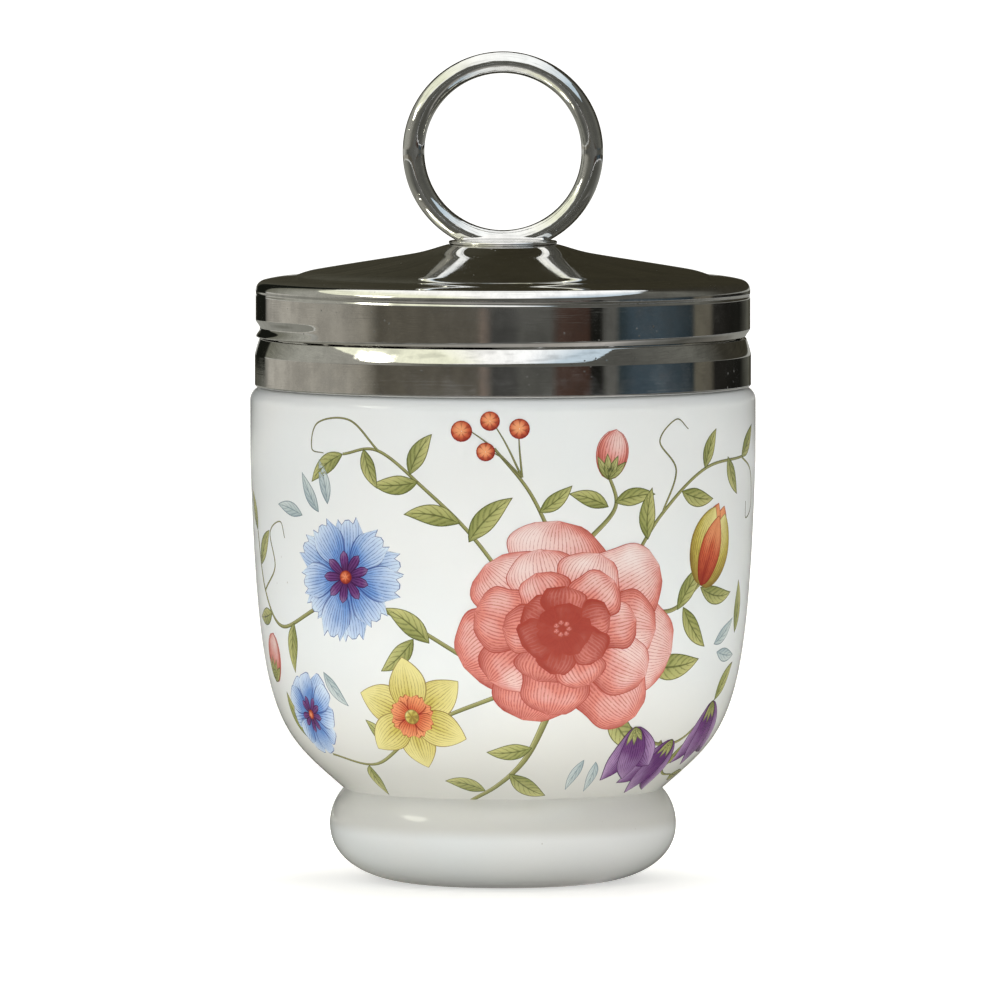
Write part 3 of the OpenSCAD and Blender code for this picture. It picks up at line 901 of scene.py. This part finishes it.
def posy_front():
    """The posy on the front: a peony low on the right, cornflowers, a daffodil, a tulip,
    bells, berries, a bud and sprays of leaves."""
    stems = Motif("print_stems")
    for width, *points in (
            (0.95, (6, 22), (3, 15), (-1, 10.5), (-6, 7.5)),
            (0.5, (4, 32), (-3, 42), (-9, 48), (-15, 52.5), (-20, 52)),
            (0.55, (-4, 28), (-13, 33), (-22, 36)), (0.55, (0, 24), (-10, 20), (-20, 14), (-29, 15)),
            (0.5, (6, 42), (3, 48), (-1, 53)), (0.6, (10, 42), (13.5, 46), (12.5, 50)),
            (0.65, (16, 34), (22, 33.5), (27, 36.5)), (0.6, (12, 24), (20, 18), (28, 17), (34, 22)),
            (0.5, (15, 38), (20, 45), (27, 50), (36, 51)), (0.5, (-24, 34), (-33, 31), (-38, 35), (-40, 42)),
            (0.45, (24, 17.3), (30, 12), (35, 11))):
        stems.stem(points, width, taper=0.35)
    for points in (((-15, 52.5), (-19, 56), (-24, 55.5), (-25, 52.5), (-23, 52)),
                   ((36, 51), (40, 49), (41, 45), (38.5, 43.6), (38.2, 45.6)),
                   ((-38, 35), (-34, 38), (-35, 42), (-32, 43.5), (-31, 41.6)),
                   ((20, 45), (22, 50), (19.5, 53.5), (22, 56), (24, 54.8))):
        stems.stem(points, TENDRIL_W, 1)

    left = Motif("print_leaves_left")
    leaves(left, (
            (-5, 44.2, 155, 7.0, 2.5, 0.6), (-4, 42, 60, 7.4, 2.6, -0.5), (-10, 49, 195, 6.0, 2.3, -0.4),
            (-11, 49.8, 75, 5.6, 2.2, -0.5), (-20, 52, 200, 6.2, 2.2, 0.5), (-17, 52.7, 280, 5.0, 1.9, 0.4),
            (-9, 30, 130, 7.0, 2.6, 0.5), (-11, 30.5, 235, 6.2, 2.3, -0.5), (-30, 31.6, 245, 6.2, 2.3, 0.5),
            (-36, 32.5, 200, 5.6, 2.1, -0.4), (-39, 38, 60, 5.8, 2.2, -0.4), (-40, 42, 110, 5.4, 2.1, 0.3),
            (-22, 13.6, 245, 5.8, 2.2, 0.5), (-16, 16.5, 120, 5.0, 2.0, 0.3), (-33, 17, 120, 6.4, 2.3, -0.4),
            (1, 12.8, 310, 8.0, 2.9, 0.6), (-3, 9.5, 150, 6.8, 2.5, 0.5), (4, 17, 200, 6.4, 2.4, -0.5)))
    pale_leaves(left, 5.4, ((-24, 45, 130, -0.3), (-27, 44.5, 160, 0.3), (-22.5, 46, 95, 0.3),
                            (-25, 26, 300, 0.4)))

    right = Motif("print_leaves_right")
    leaves(right, (
            (18, 42, 100, 6.2, 2.3, -0.5), (23, 47.5, 335, 6.0, 2.2, 0.5), (27, 50, 75, 5.2, 2.0, -0.4),
            (32, 51.2, 290, 5.4, 2.0, 0.4), (36, 51, 30, 5.8, 2.2, 0.3), (14, 22, 300, 8.4, 3.0, 0.6),
            (19, 27, 350, 9.0, 3.2, 0.45), (24, 33.8, 300, 7.0, 2.4, 0.5), (23, 33.5, 60, 7.0, 2.4, -0.4),
            (27, 36, 330, 7.6, 2.2, 0.8), (21, 17.8, 240, 6.2, 2.2, -0.5), (12.6, 46, 150, 5.2, 2.0, 0.4),
            (13.4, 46.5, 20, 5.6, 2.1, -0.4), (4.2, 45.5, 30, 5.0, 1.9, 0.3), (35, 11, 350, 5.6, 2.1, 0.4),
            (29, 12.8, 70, 5.4, 2.0, -0.3), (34, 22, 60, 6.0, 2.2, -0.4), (37, 30, 80, 6.4, 2.3, 0.4)))
    pale_leaves(right, 5.6, ((31, 29, 20, 0.4), (32, 28, 345, 0.3), (12, 15, 250, 0.3),
                             (14, 14.6, 285, -0.3)))

    bells = Motif("print_bells", level=3)
    bell(bells, (33.5, 22), 278, 1.5, 1)
    bell(bells, (26.5, 17.4), 258, 1.5, 7)
    bell(bells, (18.5, 19.5), 286, 1.4, 13)
    fruit = Motif("print_berries", level=3)
    bud(fruit, (12.5, 49.2), 80, 1.15, 1)
    bud(fruit, (-38, 24), 75, 1.2, 8)
    for x, y in ((-4.6, 55.6), (-1.4, 56.4), (1.8, 55.2), (-2.2, 53)):
        fruit.stem([(2.2, 49.6), ((x + 2) / 2, (y + 50) / 2 + 0.4), (x, y)], TENDRIL_W)
    for x, y, radius in ((-4.8, 55.0, 1.25), (-1.5, 56.2, 1.15), (1.9, 55.3, 1.2), (-2.0, 52.6, 1.1)):
        fruit.disc((x, y), radius, "orange", 4, tones=(0.12, 0.85), lines=7)
    return [stems, left, right, peony("print_peony", (7, 31), 1.08, 11),
            cornflower("print_cornflower", (-20, 37.5), 1.2, turn=0.3),
            cornflower("print_cornflower_small", (-29.5, 20.5), 0.9, turn=1.0, squash=0.8, seed=8),
            daffodil("print_daffodil", (-12, 21), 1.2, turn=0.35),
            tulip("print_tulip", (27, 36.2), 1.15, 68, 3), bells, fruit]


def posy_back():
    """A smaller spray on the back."""
    back = pi * PRINT_R
    stems = Motif("print_back_leaves", place=(back, 0))
    stems.stem([(0, 34), (-6, 26), (-5, 19)], 0.6, taper=0.3)
    stems.stem([(-2, 32), (6, 40), (12, 43)], 0.5)
    stems.stem([(-4, 30), (-11, 34), (-17, 33)], 0.45)
    leaves(stems, (
            (3, 37, 80, 6.5, 2.3, -0.4), (6, 40, 330, 6.0, 2.2, 0.4), (-7, 32.4, 120, 6.0, 2.2, 0.5),
            (-12, 34, 230, 5.6, 2.0, -0.4), (-6, 24, 200, 6.4, 2.3, 0.4), (-5.4, 21, 330, 6.4, 2.4, 0.5)))
    return [stems, daffodil("print_back_daffodil", (back + 13, 44), 0.8, turn=0.8),
            cornflower("print_back_cornflower", (back - 18, 33), 0.7, turn=0.4, seed=6),
            peony("print_back_peony", (back, 34), 0.55, 4)]


# ---- dressing the object
CHROME = (0.86, 0.85, 0.83)
MATERIALS = {
    "porcelain": glaze(),
    "cement": cement(),
    "collar_metal": worn_metal("collar_plating", CHROME, 0.03, 0.05, grain=0.08, streaks=0.3),
    "lid_metal": worn_metal("lid_plating", CHROME, 0.025, 0.045, grain=0.08, streaks=0.3),
    "seat_metal": worn_metal("seat_plating", (0.84, 0.83, 0.81), 0.04, 0.04, grain=0.1),
    "ring_metal": worn_metal("ring_plating", (0.84, 0.84, 0.82), 0.03, 0.04, grain=0.1, pits=1.6, wire=1.6),
    "washer_metal": worn_metal("washer_brass", (0.58, 0.45, 0.22), 0.30, 0.15),
}


def dress(piece, body, slot, *nodes):
    piece.data.materials.append(MATERIALS[slot])
    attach(piece, body)
    if nodes:
        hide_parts(*nodes)


dress(make_cup(), "cup", "porcelain", "porcelain_cup")
dress(make_collar(), "cup", "collar_metal", "screw_collar")
dress(make_cement(), "cup", "cement", "collar_cement")
dress(make_lid(), "lid", "lid_metal", "lid_shell")
dress(make_seat(), "lid", "seat_metal", "ring_seat")
dress(make_ring(), "lid", "ring_metal", "lifting_ring")
dress(make_solder(), "lid", "seat_metal")
dress(make_washer(), "lid_backing", "washer_metal", "tang_washer")
for motif in posy_front() + posy_back():
    motif.build()


# ---- the studio
# Each table below gives colours by direction: degrees round from the front, to the
# right, and a colour. The first two are what a mirror sees of the floor near the
# object, and further off, where the lifting ring looks.
FLOOR_MIRRORED = (
    (-180, 0.05, 0.05, 0.04), (-146, 0.08, 0.08, 0.06), (-118, 0.1, 0.1, 0.07), (-95, 0.28, 0.27, 0.22),
    (-60, 0.31, 0.3, 0.26), (-10, 0.33, 0.32, 0.3), (30, 0.38, 0.36, 0.33), (52, 0.5, 0.48, 0.46),
    (72, 0.2, 0.2, 0.19), (100, 0.08, 0.08, 0.07), (135, 0.16, 0.15, 0.13), (180, 0.05, 0.05, 0.04)
)
FLOOR_FAR = (
    (-180, 0.3, 0.3, 0.27), (-130, 0.27, 0.27, 0.24), (-85, 0.22, 0.22, 0.19), (-50, 0.09, 0.09, 0.08),
    (-15, 0.14, 0.14, 0.13), (35, 0.07, 0.07, 0.06), (85, 0.1, 0.1, 0.09), (130, 0.24, 0.24, 0.22),
    (180, 0.3, 0.3, 0.27)
)
# What the metal mirrors of the walls, low down and higher up
ROOM_LOW = (
    (-180, 0.045, 0.04, 0.025), (-156, 0.11, 0.11, 0.09), (-146, 0.15, 0.15, 0.13),
    (-138, 0.44, 0.42, 0.37), (-75, 0.37, 0.35, 0.3), (-68, 0.33, 0.31, 0.26), (-58, 0.115, 0.105, 0.082),
    (-13, 0.115, 0.105, 0.085), (-9, 0.21, 0.17, 0.14), (-5, 0.064, 0.064, 0.06), (5, 0.064, 0.064, 0.06),
    (10, 0.1, 0.1, 0.09), (21, 0.1, 0.1, 0.09), (25, 0.075, 0.048, 0.038), (39, 0.062, 0.036, 0.027),
    (41, 0.012, 0.012, 0.01), (46, 0.012, 0.012, 0.01), (48.5, 0.12, 0.12, 0.11), (52, 0.11, 0.11, 0.1),
    (55, 0.03, 0.045, 0.052), (62, 0.055, 0.08, 0.1), (78, 0.05, 0.073, 0.09), (96.5, 0.024, 0.036, 0.043),
    (100, 0.14, 0.13, 0.1), (111, 0.12, 0.11, 0.085), (115, 0.016, 0.015, 0.013), (142, 0.012, 0.012, 0.01),
    (160, 0.11, 0.11, 0.09), (168, 0.045, 0.04, 0.025)
)
ROOM_HIGH = (
    (-180, 0.04, 0.036, 0.022), (-140, 0.2, 0.2, 0.16), (-110, 0.42, 0.42, 0.37), (-60, 0.36, 0.35, 0.31),
    (-30, 0.14, 0.14, 0.12), (60, 0.1, 0.1, 0.09), (100, 0.16, 0.16, 0.14), (125, 0.045, 0.042, 0.032),
    (180, 0.04, 0.036, 0.022)
)
# What the glaze mirrors, from the foot of the walls, and the ring, from a belt
ROOM_FOOT = (
    (-180, 0.56, 0.57, 0.51), (-165, 0.64, 0.65, 0.58), (-140, 0.56, 0.56, 0.5), (-110, 0.66, 0.66, 0.6),
    (-60, 0.85, 0.86, 0.84), (60, 0.85, 0.86, 0.88), (110, 0.62, 0.63, 0.65), (140, 0.52, 0.53, 0.54),
    (165, 0.6, 0.6, 0.6), (180, 0.56, 0.57, 0.51)
)
ROOM_BELT = (
    (-180, 0.55, 0.55, 0.51), (-150, 0.6, 0.6, 0.56), (-112, 0.5, 0.5, 0.46), (-88, 0.3, 0.3, 0.27),
    (-68, 0.09, 0.09, 0.08), (-40, 0.12, 0.12, 0.11), (0, 0.13, 0.13, 0.12), (40, 0.18, 0.18, 0.17),
    (62, 0.09, 0.09, 0.08), (95, 0.09, 0.09, 0.08), (125, 0.22, 0.22, 0.2), (150, 0.34, 0.34, 0.31),
    (180, 0.5, 0.5, 0.46)
)
# Where those parts of the walls meet, in metres up; each edge is soft
FOOT_EDGE, BELT_FROM, BELT_TO, HIGH_EDGE = (0.004, 0.0155), (0.0405, 0.0425), (0.084, 0.076), (0.075, 0.1)
# A dark corner of the walls: from which height, and its two sides in parts of a turn
UNLIT_FROM, UNLIT_LEFT, UNLIT_RIGHT = (0.0236, 0.0248), (0.03, 0.045), (0.106, 0.096)
UNLIT = (0.01, 0.011, 0.008)
# The top of the walls: degrees round, and degrees up as the object sees it
ROOM_TOP = ((-180, 50), (-135, 46), (-90, 24), (-45, 18), (0, 20), (40, 21), (75, 42), (110, 56),
            (145, 52), (180, 50))
ROOM_R, ROOM_EYE_Z, ROOM_SIDES = 0.75, 0.07, 120
FLOOR_HALF = 12.0
# What the floor adds for the camera, near the object and far off
FLOOR_GLOW = 0.52, 0.80
CEILING_Z, CEILING_HALF = 1.5, 3.5
WINDOW_LIGHT, WINDOW_W, WINDOW_H, WINDOW_AT = 9.0, 0.16, 0.11, (-0.66, -0.32, 0.34)
WORLD_LIGHT = 0.46
BOUNCES, BOUNCE_R = 6, 0.075


def stage_mesh(name, verts, faces, material):
    mesh = bpy.data.meshes.new(name)
    mesh.from_pydata(verts, [], faces)
    mesh.materials.append(material)
    piece = add_object(name, mesh)
    return piece


def rectangle(name, half_x, half_y, z, material):
    corners = [(-half_x, -half_y, z), (half_x, -half_y, z), (half_x, half_y, z), (-half_x, half_y, z)]
    return stage_mesh(name, corners, [(0, 1, 2, 3)], material)


def mirrored_only(piece):
    """Leaves a card to be seen in mirrors alone, where it shades nothing."""
    for ray in ("camera", "diffuse", "shadow", "transmission"):
        setattr(piece, "visible_" + ray, False)


def turn_of(n, place):
    """How far round from the back a point lies, from 0 to 1."""
    x, y, _ = n.parts(place)
    return n.plus(n.math("DIVIDE", n.math("ARCTAN2", x, n.times(y, -1.0)), tau), 0.5)


def by_turn(n, turn, stops):
    return n.ramp(turn, *(((way + 180) / 360, *colour) for way, *colour in stops))


def floor_material():
    """Pale paper: it reads as white where it is lit, keeps the shadow, and lies
    dimmer in a mirror."""
    n = Nodes("floor_paper")
    place = n.place()
    n.set("Base Color", n.mix(n.noise(place, 30.0), (0.83, 0.82, 0.78), (0.87, 0.86, 0.81)))
    n.set("Roughness", 0.9)
    n.set("Specular IOR Level", 0.0)
    path = n.add("LightPath", out=None)
    away = n.length(place)
    glow = n.glow((1, 1, 1, 1), n.times(path["Is Camera Ray"], n.step(away, 0.1, 0.9, *FLOOR_GLOW)))
    paper = n.add("AddShader", {0: n.shader.outputs[0], 1: glow})
    turn = turn_of(n, place)
    mirrored = n.glow(n.mix(n.step(away, 0.11, 0.22), by_turn(n, turn, FLOOR_MIRRORED),
                            by_turn(n, turn, FLOOR_FAR)), 1.0)
    n.show(n.add("MixShader", {0: path["Is Glossy Ray"], 1: paper, 2: mirrored}))
    return n.owner


def room_material():
    """A dim room of brown, grey and blue things, and darker walls above them."""
    n = Nodes("room_cards")
    place = n.place()
    z = n.parts(place)[2]
    turn = turn_of(n, place)
    uneven = n.plus(turn, n.times(n.minus(n.noise(place, 6.0, 3), 0.5), 0.02))
    colour = n.mix(n.step(z, *FOOT_EDGE), by_turn(n, turn, ROOM_FOOT), by_turn(n, uneven, ROOM_LOW))
    belt = n.times(n.step(z, *BELT_FROM), n.step(z, *BELT_TO))
    colour = n.mix(belt, colour, by_turn(n, uneven, ROOM_BELT))
    colour = n.mix(n.step(z, *HIGH_EDGE), colour, by_turn(n, turn, ROOM_HIGH))
    sides = n.times(n.step(turn, *UNLIT_LEFT), n.step(turn, *UNLIT_RIGHT))
    colour = n.mix(n.times(n.step(z, *UNLIT_FROM), sides), colour, UNLIT)
    flat = n.add("VectorMath", {0: place, 1: (7.0, 7.0, 330.0)}, operation="MULTIPLY")
    n.show(n.glow(colour, n.step(n.noise(flat, 1.0, 4, 0.65), 0.3, 0.7, 0.62, 1.12)))
    return n.owner


def make_room():
    """A wall of cards round the object, open above."""
    verts, faces = [], []
    for i in range(ROOM_SIDES):
        way = 360 * i / ROOM_SIDES - 180
        top = np.interp(way, *zip(*ROOM_TOP))
        x, y = ROOM_R * sin(way * DEG), -ROOM_R * cos(way * DEG)
        verts += [(x, y, 0.001), (x, y, ROOM_EYE_Z + ROOM_R * tan(top * DEG))]
        k = (i + 1) % ROOM_SIDES
        faces.append((2 * i, 2 * k, 2 * k + 1, 2 * i + 1))
    mirrored_only(stage_mesh("room_wall", verts, faces, room_material()))


def make_ceiling():
    """An uneven pale ceiling, warm on the left and cool on the right."""
    n = Nodes("ceiling_paint")
    place = n.place()
    tint = n.ramp(n.step(n.parts(place)[0], -CEILING_HALF, CEILING_HALF),
                  (0.25, 0.85, 0.86, 0.68), (0.42, 1.0, 1.0, 0.98), (0.62, 0.97, 0.99, 1.0),
                  (0.80, 0.50, 0.60, 0.68))
    n.show(n.glow(tint, n.step(n.noise(place, 1.3, 3), 0.35, 0.5, 0.92, 1.2)))
    mirrored_only(rectangle("ceiling", CEILING_HALF, CEILING_HALF, CEILING_Z, n.owner))


def make_window():
    """A bright window, up on the left, that the glaze and the metal mirror, with
    leaves before it."""
    n = Nodes("window_glass")
    place = n.place()
    x, y, _ = n.parts(place)
    open_x, open_y = (n.step(n.math("ABSOLUTE", v), half, 0.45 * half)
                      for v, half in ((x, WINDOW_W), (y, WINDOW_H)))
    clear = n.times(n.times(open_x, open_y), n.step(n.noise(place, 14.0, 3, 0.6), 0.40, 0.58))
    shine = n.glow((1.0, 1.0, 0.84, 1), WINDOW_LIGHT)
    n.show(n.add("MixShader", {0: clear, 1: n.add("BsdfTransparent"), 2: shine}))
    pane = rectangle("window", WINDOW_W, WINDOW_H, 0, n.owner)
    aim(pane, WINDOW_AT, (0, 0, 0.05))
    mirrored_only(pane)


def aim(piece, place, at):
    """Puts a piece in its place, with its -Z towards a point."""
    piece.location = place
    piece.rotation_euler = (Vector(at) - piece.location).to_track_quat("-Z", "Y").to_euler()


def lamp(name, place, at, size, power, colour=(1, 1, 1), spread=180, tall=None):
    data = bpy.data.lights.new(name, "AREA")
    data.shape = "RECTANGLE" if tall else "DISK"
    data.size_y = tall or size
    data.size = size
    data.energy = power
    data.color = colour
    data.spread = spread * DEG
    piece = add_object(name, data)
    aim(piece, place, at)
    piece.visible_glossy = False
    piece.visible_camera = False


def make_world():
    """Even light on the object, and white where the camera or a mirror sees the sky."""
    n = Nodes("studio", "worlds")
    bpy.context.scene.world = n.owner
    n.tree.nodes.remove(n.tree.nodes["Background"])
    path = n.add("LightPath", out=None)
    seen = n.math("MAXIMUM", n.math("MAXIMUM", path["Is Camera Ray"], path["Is Glossy Ray"]),
                  path["Is Transmission Ray"])
    dim, white = (n.add("Background", {0: (1, 1, 1, 1), 1: light}) for light in (WORLD_LIGHT, 1.0))
    n.show(n.add("MixShader", {0: seen, 1: dim, 2: white}))


rectangle("floor", FLOOR_HALF, FLOOR_HALF, 0, floor_material())
make_room()
make_ceiling()
make_window()
make_world()
MIDDLE = (0, 0, 0.04)
lamp("key", (-0.25, -1.3, 0.14), MIDDLE, 2.0, 5.6, (0.985, 0.995, 1.0), tall=0.26)
lamp("top", (0.1, 0.2, 1.3), MIDDLE, 0.9, 3.8)
for number in range(BOUNCES):
    angle = FRONT + number * tau / BOUNCES
    spot = BOUNCE_R * cos(angle), BOUNCE_R * sin(angle)
    lamp(f"floor_{number}", (*spot, 0.055), (*spot, 0), 0.03, 0.022, spread=80)

CAMERA_AWAY, CAMERA_Z = 1.636, 0.142
AIM = Vector((-0.00035, 0, 0.0452))
VIEW_W = 0.1188
SENSOR_MM = 36
camera_data = bpy.data.cameras.new("camera")
camera = add_object("camera", camera_data)
aim(camera, (AIM.x, -CAMERA_AWAY, CAMERA_Z), AIM)
camera_data.sensor_width = SENSOR_MM
camera_data.lens = SENSOR_MM * (AIM - camera.location).length / VIEW_W
camera_data.clip_end = 20
bpy.context.scene.camera = camera
bpy.context.scene.view_settings.view_transform = "Standard"
